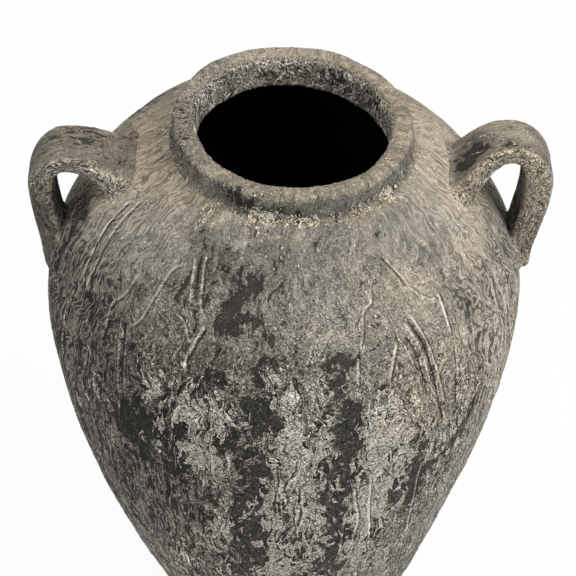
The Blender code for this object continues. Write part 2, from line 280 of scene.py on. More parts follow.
# Runs of wash that stand up from the wall, and cracks in it. First how far each stands up, below nought
# for a crack, then half its width in mm, then the places that it goes through, as above.
RUNS = (
    (0.7, 1.2, ((-31.5, 579), (-30.0, 572), (-28.5, 563), (-27.5, 556))),
    (-0.8, 1.4, ((-29.5, 581), (-28.5, 573), (-27.0, 564), (-26.0, 557))),
    (0.7, 1.2, ((-28.0, 583), (-27.0, 575), (-25.5, 566), (-24.5, 558), (-23.0, 552))),
    (0.9, 1.6, ((-21.5, 547), (-23.0, 538), (-24.0, 529), (-25.0, 521), (-24.0, 512))),
    (0.6, 1.3, ((-30.5, 548), (-27.5, 544), (-25.5, 536), (-24.5, 533))),
    (0.7, 1.3, ((-65.0, 586), (-65.0, 571), (-63.5, 555), (-61.5, 537), (-61.0, 523))),
    (0.7, 1.3, ((-69.0, 580), (-68.5, 565), (-67.0, 552), (-65.0, 537), (-64.0, 523))),
    (0.5, 1.3, ((-65.0, 515), (-65.0, 499), (-65.0, 472), (-65.5, 450))),
    (0.7, 1.3, ((-45.5, 528), (-44.5, 519), (-43.0, 504), (-42.0, 482), (-41.0, 463), (-41.5, 440))),
    (-0.6, 1.2, ((-44.0, 528), (-43.0, 519), (-41.7, 504), (-40.7, 482), (-39.8, 465))),
    (0.5, 1.3, ((-46.5, 557), (-47.5, 543), (-50.0, 531), (-49.5, 518), (-49.5, 504))),
    (0.5, 1.3, ((-33.5, 575), (-37.0, 569), (-38.0, 560), (-39.0, 546), (-40.0, 533), (-43.0, 524))),
    (0.9, 1.5, ((46.0, 545), (45.5, 531), (45.0, 515))),
    (0.4, 1.2, ((37.0, 558), (39.0, 555), (40.5, 550), (43.0, 544), (45.0, 543))),
    (-0.6, 1.1, ((34.0, 578), (36.0, 569), (37.5, 561), (38.0, 556))),
    (-1.0, 1.2, ((34.0, 542), (35.5, 530), (36.5, 520), (37.0, 504), (37.5, 479), (38.0, 465), (39.5, 440))),
    (0.6, 1.1, ((35.2, 543), (36.8, 530), (37.7, 518), (38.3, 500), (38.8, 480), (39.5, 461))),
    (0.6, 1.1, ((32.7, 541), (34.2, 530), (35.2, 520), (35.7, 504), (36.2, 480))),
    (-0.8, 1.1, ((32.0, 533), (33.2, 524), (34.0, 513), (34.4, 496), (34.9, 478))),
    (0.5, 1.1, ((31.2, 526), (32.2, 514), (33.0, 497), (33.6, 480))),
    (-0.8, 1.0, ((45.0, 504), (44.0, 483), (43.0, 454))),
    (0.5, 1.2, ((26.5, 566), (25.5, 558), (22.5, 554), (21.0, 542), (19.5, 532))),
    (0.8, 1.5, ((29.5, 529), (26.5, 512), (25.0, 500))),
    (0.7, 1.4, ((18.5, 526), (17.5, 505))),
    (1.0, 1.4, ((16.0, 413), (17.0, 380), (18.5, 346), (18.0, 303))),
    (1.0, 1.3, ((20.4, 408), (20.8, 368), (22.4, 325), (23.9, 282))),
    (0.6, 1.4, ((16.5, 381), (15.0, 352), (15.0, 308), (14.0, 271))),
    (0.5, 1.2, ((3.0, 413), (3.5, 385), (3.0, 362), (3.5, 337))),
    (-1.0, 1.4, ((3.0, 444), (2.5, 428), (0.5, 416), (0.0, 402))),
    (-0.9, 1.2, ((1.5, 398), (-1.0, 390), (-1.0, 370))),
    (-1.0, 1.4, ((3.5, 410), (3.5, 389), (4.0, 370), (3.0, 350), (1.0, 327))),
    (-1.0, 2.4, ((-25.0, 488), (-27.0, 475), (-27.5, 462), (-28.0, 446), (-28.5, 430))),
    (1.0, 1.4, ((34.9, 401), (34.3, 375), (34.8, 350), (35.4, 317), (37.0, 272))),
)

# Soot-dark clay through thin wash to clean lime, in even steps
WASH_TONES = ("#171613", "#413e39", "#827d73", "#c0b9ad", "#f0ebe2")
DUST_TINT = "#fff4e2"

NOISE = "ShaderNodeTexNoise"
RANGE = "ShaderNodeMapRange"
MATH = "ShaderNodeMath"
VECTOR = "ShaderNodeVectorMath"
MIX = "ShaderNodeMix"
SOFT = {"interpolation_type": "SMOOTHSTEP"}

# The photograph's camera, and the lamps, each by its place, size and power, all aimed at one place in the
# jar. Then how strongly the air lights it, how far the paper shows as plain white, and half the paper's side.
CAMERA_PLACE = (0.0031, -1.1521, 1.5868)
CAMERA_TILT = math.radians(45.053)
LENS_MM = 119.5
SENSOR_MM = 36.0
LAMPS = {
    "key": ((1.3, -0.6, 2.0), 1.0, 36.0),
    "fill": ((-1.4, -1.2, 1.6), 1.4, 9.0),
    "top": ((-0.2, 0.1, 2.4), 1.4, 19.0),
}
LAMP_AIM = (0.0, 0.0, 0.42)
AIR_LIGHT = 0.3
PAPER_WHITE = 0.93
PAPER_HALF_SIDE = 6.0


def smooth(start, end, value):
    """Ease from 0 at start to 1 at end."""
    share = np.clip((value - start) / (end - start), 0.0, 1.0)
    return share * share * (3.0 - 2.0 * share)


def outer_radius(height):
    """Radius of the outside at a height: a cubic up to the belly, then an ellipse to the neck."""
    neck_climb = (NECK_HEIGHT - BELLY_HEIGHT) / SHOULDER_RISE
    reach = (BELLY_RADIUS - RIM_RADIUS) / (1.0 - math.sqrt(1.0 - neck_climb ** 2))
    climb = np.clip((height - BELLY_HEIGHT) / SHOULDER_RISE, 0.0, 0.99)
    shoulder = BELLY_RADIUS - reach * (1.0 - np.sqrt(1.0 - climb ** 2))
    down = np.clip(1.0 - height / BELLY_HEIGHT, 0.0, 1.0)
    from_belly = 2.0 * down ** 3 - 3.0 * down ** 2 + 1.0
    taper = BELLY_RADIUS * from_belly + BASE_RADIUS * (1.0 - from_belly)
    taper -= BASE_FLARE * BELLY_HEIGHT * (down ** 3 - down ** 2)
    return np.where(height >= BELLY_HEIGHT, shoulder, taper)


def outer_slope(height):
    """How fast the radius of the outside grows with height."""
    step = 1e-5
    return (outer_radius(height + step) - outer_radius(height - step)) / (2.0 * step)


def off_wall(points):
    """Distance of points from the outside of the body, positive in the open, and the way off the wall."""
    x, y, height = points.T
    radius, slope = np.hypot(x, y), outer_slope(height)
    away = np.stack([x / radius, y / radius, -slope], axis=1) / np.hypot(1.0, slope)[:, None]
    return (radius - outer_radius(height)) / np.hypot(1.0, slope), away


def turned(profile):
    """Rings of points from a profile of (radius, height), front first and round by the right."""
    turn = np.linspace(0.0, 2.0 * math.pi, COLUMNS, endpoint=False)
    radius, height = profile[:, :1], profile[:, 1:]
    across = radius * np.sin(turn)
    return np.stack([across, -radius * np.cos(turn), np.broadcast_to(height, across.shape)], axis=-1)


def settled(points):
    """Points moved by the faults of the hand-made body."""
    x, y, z = points[..., 0], points[..., 1], points[..., 2]
    radius = np.hypot(x, y)
    neck = smooth(NECK_FREE_RADIUS, NECK_STIFF_RADIUS, radius)
    neck = neck * smooth(NECK_FREE_HEIGHT, NECK_STIFF_HEIGHT, z)
    lean = LOWER_LEAN * np.exp(-(((z - LOWER_LEAN_HEIGHT) / LOWER_LEAN_SPREAD) ** 2))

    # Two and three waves go round the body and turn with its height
    turn = np.arctan2(x, -y)
    swell = OUT_OF_ROUND * (np.sin(2.0 * turn + 9.0 * z) + 0.6 * np.sin(3.0 * turn - 17.0 * z + 1.0))
    swell = swell * smooth(0.0, 0.05, z)
    moved = points.copy()
    moved[..., 0] += NECK_SHIFT * neck - lean + swell * x / np.maximum(radius, 1e-6)
    moved[..., 1] += swell * y / np.maximum(radius, 1e-6)
    moved[..., 2] += (NECK_RAISE + math.tan(NECK_NOD) * y - math.tan(NECK_TIP) * x) * neck
    return moved


def ring_faces(rings, count, closed):
    """Quads between rings of points, from the last ring back to the first if closed."""
    here = np.arange(rings * count).reshape(rings, count)
    above = np.roll(here, -1, axis=0)
    last = rings if closed else rings - 1
    corners = [here, np.roll(here, -1, axis=1), np.roll(above, -1, axis=1), above]
    return np.stack([corner[:last].ravel() for corner in corners], axis=1).tolist()


def travelled(profile):
    """Length along a profile up to each of its points."""
    steps = np.hypot(*np.diff(profile, axis=0).T)
    return np.concatenate([[0.0], np.cumsum(steps)])


def evenly(profile, step):
    """Points at even steps along a profile."""
    travel = travelled(profile)
    marks = np.linspace(0.0, travel[-1], max(2, round(travel[-1] / step) + 1))
    return np.stack([np.interp(marks, travel, values) for values in profile.T], axis=1)


def linear(hex_colour):
    """Linear RGBA of an sRGB hex colour."""
    shares = [int(hex_colour[at:at + 2], 16) / 255.0 for at in (1, 3, 5)]
    return (*[s / 12.92 if s <= 0.04045 else ((s + 0.055) / 1.055) ** 2.4 for s in shares], 1.0)


def add(tree, kind, sockets=None, **options):
    """Add a node with its options, and values or links on its sockets. Gives its output in use."""
    node = tree.nodes.new(kind)
    for option, value in options.items():
        setattr(node, option, value)
    for socket, value in (sockets or {}).items():
        if isinstance(value, bpy.types.NodeSocket):
            tree.links.new(value, node.inputs[socket])
        else:
            node.inputs[socket].default_value = value
    return next((output for output in node.outputs if output.enabled), None)


def thread(tree, field, level, width):
    """Thin line, 1 along its middle, where a field passes a level."""
    off = add(tree, MATH, {0: field, 1: level}, operation="SUBTRACT")
    off = add(tree, MATH, {0: off}, operation="ABSOLUTE")
    return add(tree, RANGE, {"Value": off, "From Min": width, "From Max": 0.3 * width}, **SOFT)


def layered(tree, ground, *layers):
    """Tone, cover or height of a ground with layers over it, each by its share."""
    for layer, share in layers:
        ground = add(tree, MATH, {0: layer, 1: share, 2: ground}, operation="MULTIPLY_ADD")
    return ground


def weathering(tree, run, place, film_cover, crust_cover):
    """Where the wash lies on the clay: how thick its film and its crust are, and how it has folded.

    It is drawn alike for the relief and for the colour, with all lengths in mm. run follows the way
    water runs down the clay, and place is the point itself.
    """
    # The drift of the brush sways off the run, more on the shoulder than lower down
    sway = add(tree, NOISE, {"Vector": place, "Scale": 1 / 34, "Detail": 2.0})
    sway = add(tree, VECTOR, {0: sway.node.outputs["Color"], 1: (0.5, 0.5, 0.5)}, operation="SUBTRACT")
    height = add(tree, "ShaderNodeSeparateXYZ", {"Vector": place}).node.outputs["Z"]
    swirl = add(tree, RANGE, {
        "Value": height, "From Min": 440.0, "From Max": 520.0, "To Min": 15.0, "To Max": 36.0,
    })
    sway = add(tree, VECTOR, {0: sway, "Scale": swirl}, operation="SCALE")
    drift = add(tree, VECTOR, {0: sway, 1: run}, operation="ADD")

    # Film in patches about 40 mm wide, with curds about 6 mm wide that make their edges lacy
    patch_at = add(tree, VECTOR, {0: drift, 1: (1 / 38, 1 / 38, 1 / 120)}, operation="MULTIPLY")
    patch = add(tree, NOISE, {"Vector": patch_at, "Scale": 1.0, "Detail": 2.0})
    curd_at = add(tree, VECTOR, {0: drift, 1: (1 / 6, 1 / 6, 1 / 12)}, operation="MULTIPLY")
    curd = add(tree, NOISE, {"Vector": curd_at, "Scale": 1.0, "Detail": 2.0, "Roughness": 0.6})

    # Crust in plates about 12 mm wide that hang down the wall, torn into strands about 4 mm wide
    plate_at = {0: drift, 1: (1 / 12, 1 / 12, 1 / 60), 2: (7.3, 2.1, 4.7)}
    plate_at = add(tree, VECTOR, plate_at, operation="MULTIPLY_ADD")
    plate = add(tree, NOISE, {"Vector": plate_at, "Scale": 1.0, "Detail": 2.0})
    strand_at = {0: drift, 1: (1 / 3.8, 1 / 3.8, 1 / 13), 2: (1.3, 5.1, 9.7)}
    strand_at = add(tree, VECTOR, strand_at, operation="MULTIPLY_ADD")
    strand = add(tree, NOISE, {"Vector": strand_at, "Scale": 1.0, "Detail": 1.0, "Roughness": 0.5})

    # Folds of the skin on the wet wash, about 11 mm apart, in lines that wind down the jar
    fold_at = {0: drift, 1: (1 / 11, 1 / 11, 1 / 110), 2: (3.9, 8.2, 1.6)}
    fold_at = add(tree, VECTOR, fold_at, operation="MULTIPLY_ADD")
    fold = add(tree, NOISE, {"Vector": fold_at, "Scale": 1.0, "Detail": 2.0, "Roughness": 0.45})

    # Strings of crust that hang in pairs beside the folds
    string = thread(tree, fold, 0.50, 0.07)
    gap = thread(tree, fold, 0.50, 0.025)

    film = layered(tree, film_cover, (patch, 0.6), (curd, 1.0))
    crust = layered(tree, crust_cover, (strand, 0.9), (plate, 0.75), (string, 0.17), (gap, -0.30))
    return drift, film, crust, fold


def coat_relief():
    """Geometry that lifts the wash off the clay and makes the clay uneven."""
    tree = bpy.data.node_groups.new("coat relief", "GeometryNodeTree")
    tree.interface.new_socket("Geometry", in_out="INPUT", socket_type="NodeSocketGeometry")
    tree.interface.new_socket("Geometry", in_out="OUTPUT", socket_type="NodeSocketGeometry")
    skin = add(tree, "NodeGroupInput")
    run, place, outward = [
        add(tree, "GeometryNodeInputNamedAttribute", {"Name": name}, data_type="FLOAT_VECTOR")
        for name in ("run", "place", "outward")
    ]
    film_cover, crust_cover, bead, stand = [
        add(tree, "GeometryNodeInputNamedAttribute", {"Name": name}, data_type="FLOAT")
        for name in ("film", "crust", "bead", "stand")
    ]
    _, film, crust, _ = weathering(tree, run, place, film_cover, crust_cover)
    film = add(tree, RANGE, {"Value": film, "From Min": 0.72, "From Max": 0.82, "To Max": FILM_LIFT})
    crust = add(tree, RANGE, {"Value": crust, "From Min": 0.82, "From Max": 0.93, "To Max": CRUST_LIFT})
    uneven = add(tree, NOISE, {"Vector": place, "Scale": 1 / 70, "Detail": 3.0})
    uneven = add(tree, RANGE, {
        "Value": uneven, "From Min": 0.2, "From Max": 0.8, "To Min": -CLAY_UNEVEN, "To Max": CLAY_UNEVEN,
    })
    bead = add(tree, MATH, {0: bead}, operation="ABSOLUTE")
    bead = add(tree, RANGE, {"Value": bead, "From Min": 1.3, "From Max": 0.3, "To Max": RUN_LIFT})
    lift = layered(tree, film, (crust, 1.0), (uneven, 1.0), (bead, stand))
    lift = add(tree, MATH, {0: lift, 1: 1 / MM}, operation="MULTIPLY")
    offset = add(tree, VECTOR, {0: outward, "Scale": lift}, operation="SCALE")
    moved = add(tree, "GeometryNodeSetPosition", {"Geometry": skin, "Offset": offset})
    add(tree, "NodeGroupOutput", {"Geometry": moved})
    return tree


def skin_mesh(name, points, faces, fields):
    """Mesh with the coat's fields on its points."""
    mesh = bpy.data.meshes.new(name)
    mesh.from_pydata(points.tolist(), [], faces)
    for field, values in fields.items():
        vector = values.ndim == 2
        layer = mesh.attributes.new(field, "FLOAT_VECTOR" if vector else "FLOAT", "POINT")
        layer.data.foreach_set("vector" if vector else "value", values.astype(np.float32).ravel())
    mesh.shade_smooth()
    return mesh


def skin_normals(points, faces):
    """Outward directions at a bare skin's points."""
    mesh = skin_mesh("bare skin", points, faces, {})
    normals = np.empty(len(points) * 3, np.float32)
    mesh.vertex_normals.foreach_get("vector", normals)
    bpy.data.meshes.remove(mesh)
    return normals.reshape(-1, 3).astype(float)


def weathered(points, faces, fields, relief):
    """The skin's points with the coat's relief on them, and the normals of the result."""
    bare = bpy.data.objects.new("bare skin", skin_mesh("bare skin", points, faces, fields))
    bpy.context.scene.collection.objects.link(bare)
    bare.modifiers.new("coat", "NODES").node_group = relief
    coated = bare.evaluated_get(bpy.context.evaluated_depsgraph_get()).data
    places = np.empty(len(points) * 3, np.float32)
    normals = np.empty(len(points) * 3, np.float32)
    coated.vertices.foreach_get("co", places)
    coated.vertex_normals.foreach_get("vector", normals)
    mesh = bare.data
    bpy.data.objects.remove(bare)
    bpy.data.meshes.remove(mesh)
    return places.reshape(-1, 3).astype(float), normals.reshape(-1, 3).astype(float)


def finished(name, mesh, finishes, slot, *nodes):
    """Object for a mesh, with its materials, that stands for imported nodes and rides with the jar."""
    for finish in finishes:
        mesh.materials.append(finish)
    piece = bpy.data.objects.new(name, mesh)
    bpy.context.scene.collection.objects.link(piece)
    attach(piece, "root")
    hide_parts(*nodes)


def wall_travel(height):
    """Length in mm up the outside of the wall to a height in mm."""
    fine = np.linspace(0.0, NECK_HEIGHT, PROFILE_POINTS)
    return np.interp(height, fine * MM, travelled(np.stack([outer_radius(fine), fine], axis=1)) * MM)


def wander(points, grain, reach):
    """Steps of up to about reach mm that change every grain mm or so from point to point."""
    starts = ((0.0, 0.0, 0.0), (31.7, 5.3, 2.9), (7.1, 47.3, 11.9))
    marks = [points * MM / grain + start for start in starts]
    return np.stack([[noise.noise(mark) for mark in row] for row in marks], axis=1) * 2.0 * reach / MM


def spread_over(points, places):
    """Sum at points on the body of what the places in a list add to the wash."""
    x, y, z = points.T * MM
    turn = np.degrees(np.arctan2(x, -y))
    radius = np.hypot(x, y)
    travel = wall_travel(z)
    total = np.zeros(len(points))
    for azimuth, height, half_width, half_height, amount in places:
        across = np.radians((turn - azimuth + 180.0) % 360.0 - 180.0) * radius / half_width
        along = (travel - wall_travel(height)) / half_height
        total += amount * smooth(*PLACE_FADE, np.hypot(across, along))
    return total


def spread_in(points, blots):
    """Sum at points of what the blots in a list add to the wash."""
    total = np.zeros(len(points))
    for place, reach, amount in blots:
        total += amount * smooth(*BLOT_FADE, np.linalg.norm(points * MM - np.array(place), axis=1) / reach)
    return total


def smooth_line(knots):
    """Points 1 mm apart on a smooth line through knots."""
    ends = np.concatenate([[2.0 * knots[0] - knots[1]], knots, [2.0 * knots[-1] - knots[-2]]])
    share = np.linspace(0.0, 1.0, 20, endpoint=False)[:, None]
    parts = []
    for before, start, end, after in zip(ends, ends[1:], ends[2:], ends[3:]):
        bend = 2.0 * before - 5.0 * start + 4.0 * end - after
        twist = 3.0 * (start - end) + after - before
        parts.append(start + 0.5 * share * (end - before + share * (bend + share * twist)))
    return evenly(np.concatenate(parts + [knots[-1:]]), 1.0)


def runs_at(points):
    """How far points on the body are across the nearest run, in half widths, and how it stands up."""
    x, y, z = (points * MM).T
    turn, radius, travel = np.arctan2(x, -y), np.hypot(x, y), wall_travel(z)
    bead, gap = np.full((2, len(points)), RUN_REACH)
    stand = np.zeros(len(points))
    for height, half_width, places in RUNS:
        azimuths, heights = np.array(places).T
        middle = np.radians(azimuths.mean())
        across = (np.radians(azimuths) - middle) * outer_radius(heights / MM) * MM
        line = smooth_line(np.stack([across, wall_travel(heights)], axis=1))
        way = np.gradient(line, axis=0)
        way /= np.hypot(*way.T)[:, None]
        here = np.stack([(turn - middle) * radius, travel], axis=1)
        margin = RUN_REACH * half_width
        near = np.flatnonzero(np.all((here > line.min(0) - margin) & (here < line.max(0) + margin), axis=1))
        off = here[near, None] - line[None]
        nearest = np.argmin(np.hypot(off[..., 0], off[..., 1]), axis=1)
        off = off[np.arange(len(near)), nearest]
        side = (off[:, 0] * -way[nearest, 1] + off[:, 1] * way[nearest, 0]) / half_width
        share = nearest / (len(line) - 1)
        distance = np.hypot(*off.T) / half_width
        held = smooth(RUN_REACH, 0.6 * RUN_REACH, distance)
        held *= smooth(0.0, 0.08, share) * smooth(1.0, 0.94, share)
        closer = distance < gap[near]
        gap[near[closer]] = distance[closer]
        bead[near[closer]] = side[closer]
        stand[near[closer]] = (height * held)[closer]
    return bead, stand


def coat_fields(points, run, outward, film, crust, dust, crisp, wrinkled, bead, stand):
    """What the coat's colour and relief need to know at each point of a skin."""
    return {"run": run * MM, "place": points * MM, "outward": outward, "film": film, "crust": crust,
            "dust": dust, "crisp": crisp, "wrinkled": wrinkled, "bead": bead, "stand": stand}


def body_cover(points, outward):
    """Film, crust, dust, crispness and wrinkles over the body, and the runs on it.

    The film is thicker to the right and on the shoulder, the crust hangs low on the front, dust lies
    where the wall is flat, and the skin of the wash is wrinkled on the flanks.
    """
    z = points[:, 2]
    right = points[:, 0] / BELLY_RADIUS
    on_right = smooth(-0.2, 0.2, right)
    low = smooth(0.50, 0.42, z)
    strayed = points + wander(points, 26.0, 8.0) + wander(points, 9.0, 4.0)
    thin = spread_over(strayed, FILM_PLACES)
    film = 0.11 + 0.15 * np.maximum(right, 0.24 * right) + thin
    film += 0.10 * smooth(0.50, 0.56, z) - 0.10 * low
    crust = 0.02 + spread_over(strayed, CRUST_PLACES) + 0.6 * np.minimum(thin, 0.0)
    crust -= 0.30 * smooth(0.47, 0.54, z)
    crust -= 0.08 * smooth(0.3, 0.9, right) + 0.10 * smooth(0.4, 0.9, -right)
    dust = smooth(0.45, 0.85, outward[:, 2]) * (0.25 + 1.1 * np.abs(right))
    dust += spread_over(strayed, DUST_PLACES)
    crisp = 1.0 + 0.5 * low - 0.15 * smooth(0.1, 0.6, right)
    crisp -= 0.30 * smooth(0.50, 0.54, z) + 0.30 * smooth(0.55, 0.59, z)

    turn = np.degrees(np.arctan2(points[:, 0], -points[:, 1]))
    flank = smooth(26.0, 60.0, np.abs(turn)) * smooth(125.0, 90.0, np.abs(turn))
    wrinkled = flank * (1.0 - 0.25 * on_right) * (1.0 - 0.5 * smooth(0.52, 0.56, z))
    wrinkled = np.maximum(wrinkled, smooth(-12.0, -26.0, turn) * smooth(0.44, 0.38, z))
    furrowed = wrinkled * smooth(0.53, 0.48, z)
    film += 0.16 * furrowed
    crust -= 0.10 * furrowed
    dust -= (0.6 - 0.4 * on_right) * furrowed
    crisp -= 0.6 * wrinkled
    return film, crust, dust, crisp, wrinkled, *runs_at(points)


def flat_field(values):
    """A field on rings of points as one row per point."""
    values = values.reshape(-1, values.shape[-1])
    return values if values.shape[1] == 3 else values[:, 0]


def body(relief, coat, interior_shade):
    """Three wall sections and the base, cut from one weathered skin so that it runs on over the joints."""
    fine = np.linspace(BASE_BEVEL, NECK_HEIGHT, PROFILE_POINTS)
    profile = evenly(np.stack([outer_radius(fine), fine], axis=1), ROW_STEP)
    travel = travelled(profile)
    slope = outer_slope(profile[:, 1])
    normal = np.stack([np.ones_like(slope), -slope], axis=1) / np.hypot(1.0, slope)[:, None]
    rows = len(profile)

    skin = settled(turned(profile)).reshape(-1, 3)
    turn = np.linspace(0.0, 2.0 * math.pi, COLUMNS, endpoint=False)
    way = np.tile(np.stack([np.sin(turn), -np.cos(turn)], axis=1), (rows, 1))
    lean = np.repeat(normal, COLUMNS, axis=0)
    outward = np.concatenate([lean[:, :1] * way, lean[:, 1:]], axis=1)
    run = np.concatenate([PATTERN_RADIUS * way, np.repeat(travel, COLUMNS)[:, None]], axis=1)
    fields = coat_fields(skin, run, outward, *body_cover(skin, outward))
    places, normals = weathered(skin, ring_faces(rows, COLUMNS, False), fields, relief)
    places, normals = places.reshape(rows, COLUMNS, 3), normals.reshape(rows, COLUMNS, 3)
    del fields["outward"]
    fields = {field: values.reshape(rows, COLUMNS, -1) for field, values in fields.items()}

    cuts = (FLOOR, LOWER_SEAM_HEIGHT, UPPER_SEAM_HEIGHT)
    seams = [np.searchsorted(profile[:, 1], height) for height in cuts] + [rows - 1]
    sections = (("lower_body", "lower_wall"), ("middle_body", "middle_wall"), ("upper_body", "shoulder_wall"))
    for (name, node), low, high in zip(sections, seams, seams[1:]):
        inner = profile[low:high + 1] - WALL * normal[low:high + 1]
        inner = settled(turned(evenly(inner, INNER_ROW_STEP)[::-1]))
        section = np.concatenate([places[low:high + 1], inner])
        kept = {}
        for field, values in fields.items():
            buried = np.repeat(values[high:high + 1], len(inner), axis=0)
            kept[field] = flat_field(np.concatenate([values[low:high + 1], buried]))
        faces = ring_faces(len(section), COLUMNS, True)
        mesh = skin_mesh(name, section.reshape(-1, 3), faces, kept)
        inside = np.zeros(len(faces), np.int32)
        inside[(high - low) * COLUMNS:] = 1
        mesh.polygons.foreach_set("material_index", inside)
        ways = np.concatenate([normals[low:high + 1], np.zeros(inner.shape)])
        mesh.normals_split_custom_set_from_vertices(ways.reshape(-1, 3).tolist())
        finished(name, mesh, (coat, interior_shade), "coated_wall", node)
    low = seams[0] + 1
    base(places[:low], {field: values[:low] for field, values in fields.items()}, coat, interior_shade)
    return travel[-1]


def ring_beside(ring, reach, height):
    """Ring of points in line with another ring's, at a reach from the axis and at a height."""
    radius = np.hypot(ring[:, 0], ring[:, 1])[:, None]
    return np.concatenate([ring[:, :2] * reach / radius, np.full((COLUMNS, 1), height)], axis=1)


def base(places, fields, coat, interior_shade):
    """Flat base with a worn lower edge, under the first rows of the body's skin."""
    first, top = places[0], places[-1]
    radius = np.hypot(first[:, 0], first[:, 1])[:, None]
    under = [ring_beside(first, reach, height) for reach, height in BASE_HOLLOW]
    angles = np.linspace(0.0, math.pi / 2.0, BEVEL_ROWS, endpoint=False)
    bevel = [
        ring_beside(first, radius - BASE_BEVEL * cut, BASE_BEVEL * rise)
        for cut, rise in zip(1.0 - np.sin(angles), 1.0 - np.cos(angles))
    ]
    floor = [ring_beside(top, reach, FLOOR) for reach in FLOOR_RADII]
    rings = under + bevel + list(places) + floor
    lead, tail = len(under) + len(bevel), len(floor)
    kept = {
        field: flat_field(np.concatenate([values[:1]] * lead + [values] + [values[-1:]] * tail))
        for field, values in fields.items()
    }
    kept["place"] = np.concatenate(rings) * MM
    faces = ring_faces(len(rings), COLUMNS, False)
    last = (len(rings) - 1) * COLUMNS
    caps = [list(range(COLUMNS))[::-1], list(range(last, last + COLUMNS))]
    mesh = skin_mesh("jar_base", np.concatenate(rings), faces + caps, kept)
    mesh.set_sharp_from_angle(angle=math.radians(50.0))
    inside = np.zeros(len(faces) + len(caps), np.int32)
    inside[last - tail * COLUMNS:len(faces)] = 1
    inside[-1] = 1
    mesh.polygons.foreach_set("material_index", inside)
    finished("jar_base", mesh, (coat, interior_shade), "bare_clay", "base_slab")


def arc(centre, radius, start, end):
    """Round of a section, as points of (radius, height), between two angles in degrees."""
    angles = np.radians(np.linspace(start, end, ARC_POINTS))
    return np.stack([centre[0] + radius * np.cos(angles), centre[1] + radius * np.sin(angles)], axis=1)


def collar_section():
    """Outline of the collar, as points of (radius, height), from its feathered foot up and over."""
    tilt = math.atan2(1.0, -float(outer_slope(NECK_HEIGHT - UNDER_NECK)))
    foot_centre = (
        RIM_RADIUS + FOOT_FILLET,
        NECK_HEIGHT + FOOT_FILLET * (1.0 - math.sin(tilt)) / math.cos(tilt),
    )
    feather = NECK_HEIGHT - np.linspace(FEATHER_END, FEATHER_START, FEATHER_ROWS)
    feather = np.stack([outer_radius(feather), feather], axis=1) - FEATHER_SINK
    section = np.concatenate([
        feather,
        arc(foot_centre, FOOT_FILLET, 270.0 - math.degrees(tilt), 180.0),
        arc((RIM_RADIUS - RIM_ROUND, RIM_HEIGHT - RIM_ROUND), RIM_ROUND, 0.0, 90.0),
        arc((MOUTH_RADIUS + MOUTH_ROUND, RIM_HEIGHT - MOUTH_ROUND), MOUTH_ROUND, 90.0, 180.0),
        arc((MOUTH_RADIUS + SPIGOT_ROUND, SPIGOT_END + SPIGOT_ROUND), SPIGOT_ROUND, 180.0, 270.0),
        [(SPIGOT_RADIUS, SPIGOT_END), FEATHER_CORNER, feather[0]],
    ])
    return evenly(section, COLLAR_STEP)[:-1]


def collar(relief, coat, neck_travel):
    """Thick rolled collar, its foot smeared down onto the shoulder and its spigot in the mouth."""
    section = collar_section()
    travel = neck_travel - FEATHER_TRAVEL + travelled(section)
    rings = len(section)
    points = turned(section)
    turn = np.linspace(0.0, 2.0 * math.pi, COLUMNS, endpoint=False)
    worn = sum(depth * np.sin(waves * turn + start) for depth, waves, start in RIM_WEAR)
    points[..., 2] += worn * smooth(NECK_HEIGHT, RIM_HEIGHT, points[..., 2])
    points = settled(points).reshape(-1, 3)
    faces = ring_faces(rings, COLUMNS, True)
    outward = skin_normals(points, faces)

    # The throat is the collar's inside, with broader smears, and crumbs of crust lie on the foot's front
    inward = -np.sum(outward[:, :2] * points[:, :2], axis=1) / np.hypot(*points[:, :2].T)
    throat = smooth(0.2, 0.8, inward)
    degrees = np.degrees(np.arctan2(points[:, 0], -points[:, 1]))
    foot = smooth(0.614, 0.606, points[:, 2]) * (1.0 - throat)
    foot *= smooth(-30.0, -10.0, degrees) * smooth(80.0, 55.0, degrees)
    way = RIM_RADIUS * np.tile(np.stack([np.sin(turn), -np.cos(turn)], axis=1), (rings, 1))
    way *= 1.0 - 0.45 * throat[:, None]
    run = np.concatenate([way, np.repeat(travel, COLUMNS)[:, None]], axis=1)
    right = points[:, 0] / RIM_RADIUS
    film = 0.25 - 0.01 * throat + spread_in(points, COLLAR_BLOTS)
    crust = -0.28 + 0.30 * foot + 0.25 * throat
    dust = (0.6 + 0.2 * right) * smooth(0.3, 0.9, outward[:, 2]) + 0.25 * foot
    crisp = 0.42 - 0.10 * right + 0.4 * throat
    no_runs = np.zeros((2, len(points)))
    fields = coat_fields(points, run, outward, film, crust, dust, crisp, 0.3 * throat, *no_runs)
    places, _ = weathered(points, faces, fields, relief)
    del fields["outward"]
    mesh = skin_mesh("rolled_collar", places, faces, fields)
    finished("rolled_collar", mesh, (coat,), "coated_collar", "rim_collar", "collar_foot_coil")


